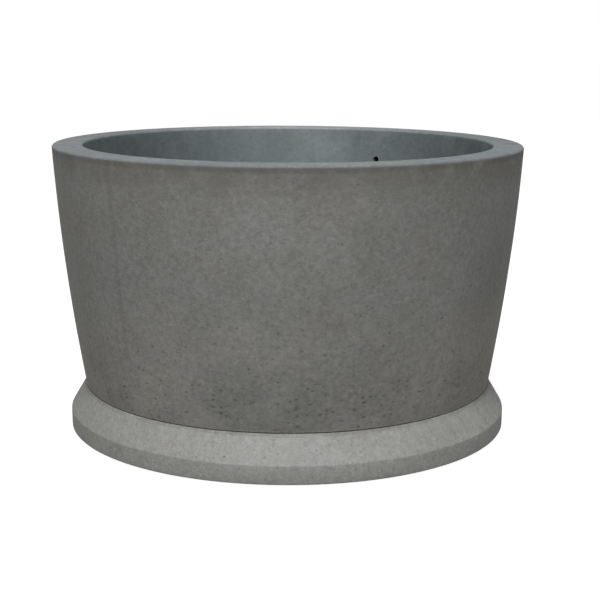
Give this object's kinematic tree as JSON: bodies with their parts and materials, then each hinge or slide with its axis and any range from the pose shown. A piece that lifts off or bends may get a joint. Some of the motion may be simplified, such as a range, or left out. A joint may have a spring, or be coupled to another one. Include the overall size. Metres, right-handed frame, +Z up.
{
  "type": "concrete planter",
  "caption": "Large round precast concrete planter: a tapered open bowl with a flat rim on a separate flared base ring.",
  "frame": {"origin": "on the ground under the middle of the planter, on its axis, level with the undersides of the foot pads", "axes": "+Z up along the planter's axis; -Y towards the viewer of the picture, +X to the viewer's right"},
  "size_m": [1.2192, 1.2192, 0.7415],
  "materials": {
    "bowl_concrete": "matte",
    "base_concrete": "matte",
    "bar_steel": "matte",
    "insert_steel": "satin",
    "sleeve_plastic": "matte",
    "strainer_plastic": "satin",
    "pad_rubber": "matte"
  },
  "bodies": {
    "base": {"base_ring": "base_concrete", "base_hoop_1": "bar_steel", "base_hoop_2": "bar_steel", "base_hoop_3": "bar_steel", "base_tie_bar_1": "bar_steel", "base_tie_bar_2": "bar_steel", "base_tie_bar_3": "bar_steel", "base_tie_bar_4": "bar_steel", "base_tie_bar_5": "bar_steel", "base_tie_bar_6": "bar_steel", "base_tie_bar_7": "bar_steel", "base_tie_bar_8": "bar_steel", "base_lifting_insert_1": "insert_steel", "base_lifting_insert_2": "insert_steel", "base_lifting_insert_3": "insert_steel", "bearing_pad_1": "pad_rubber", "bearing_pad_2": "pad_rubber", "bearing_pad_3": "pad_rubber", "bearing_pad_4": "pad_rubber", "foot_pad_1": "pad_rubber", "foot_pad_2": "pad_rubber", "foot_pad_3": "pad_rubber", "foot_pad_4": "pad_rubber"},
    "bowl": {"bowl": "bowl_concrete", "wall_bar_1": "bar_steel", "wall_bar_2": "bar_steel", "wall_bar_3": "bar_steel", "wall_bar_4": "bar_steel", "wall_bar_5": "bar_steel", "wall_bar_6": "bar_steel", "wall_bar_7": "bar_steel", "wall_bar_8": "bar_steel", "wall_bar_9": "bar_steel", "wall_bar_10": "bar_steel", "wall_bar_11": "bar_steel", "wall_bar_12": "bar_steel", "wall_hoop_1": "bar_steel", "wall_hoop_2": "bar_steel", "wall_hoop_3": "bar_steel", "wall_hoop_4": "bar_steel", "wall_hoop_5": "bar_steel", "floor_hoop_1": "bar_steel", "floor_hoop_2": "bar_steel", "lifting_insert_1": "insert_steel", "lifting_insert_2": "insert_steel", "lifting_insert_3": "insert_steel", "insert_anchor_bar_1": "bar_steel", "insert_anchor_bar_2": "bar_steel", "insert_anchor_bar_3": "bar_steel", "drain_sleeve": "sleeve_plastic"},
    "strainer": {"drain_strainer": "strainer_plastic"}
  },
  "joints": [
    {"name": "bowl_lift", "type": "slide", "parent": "base", "child": "bowl", "axis": [0, 0, 1], "range_m": [0, 0.4]},
    {"name": "strainer_lift", "type": "slide", "parent": "bowl", "child": "strainer", "axis": [0, 0, 1], "range_m": [0, 0.6]}
  ]
}
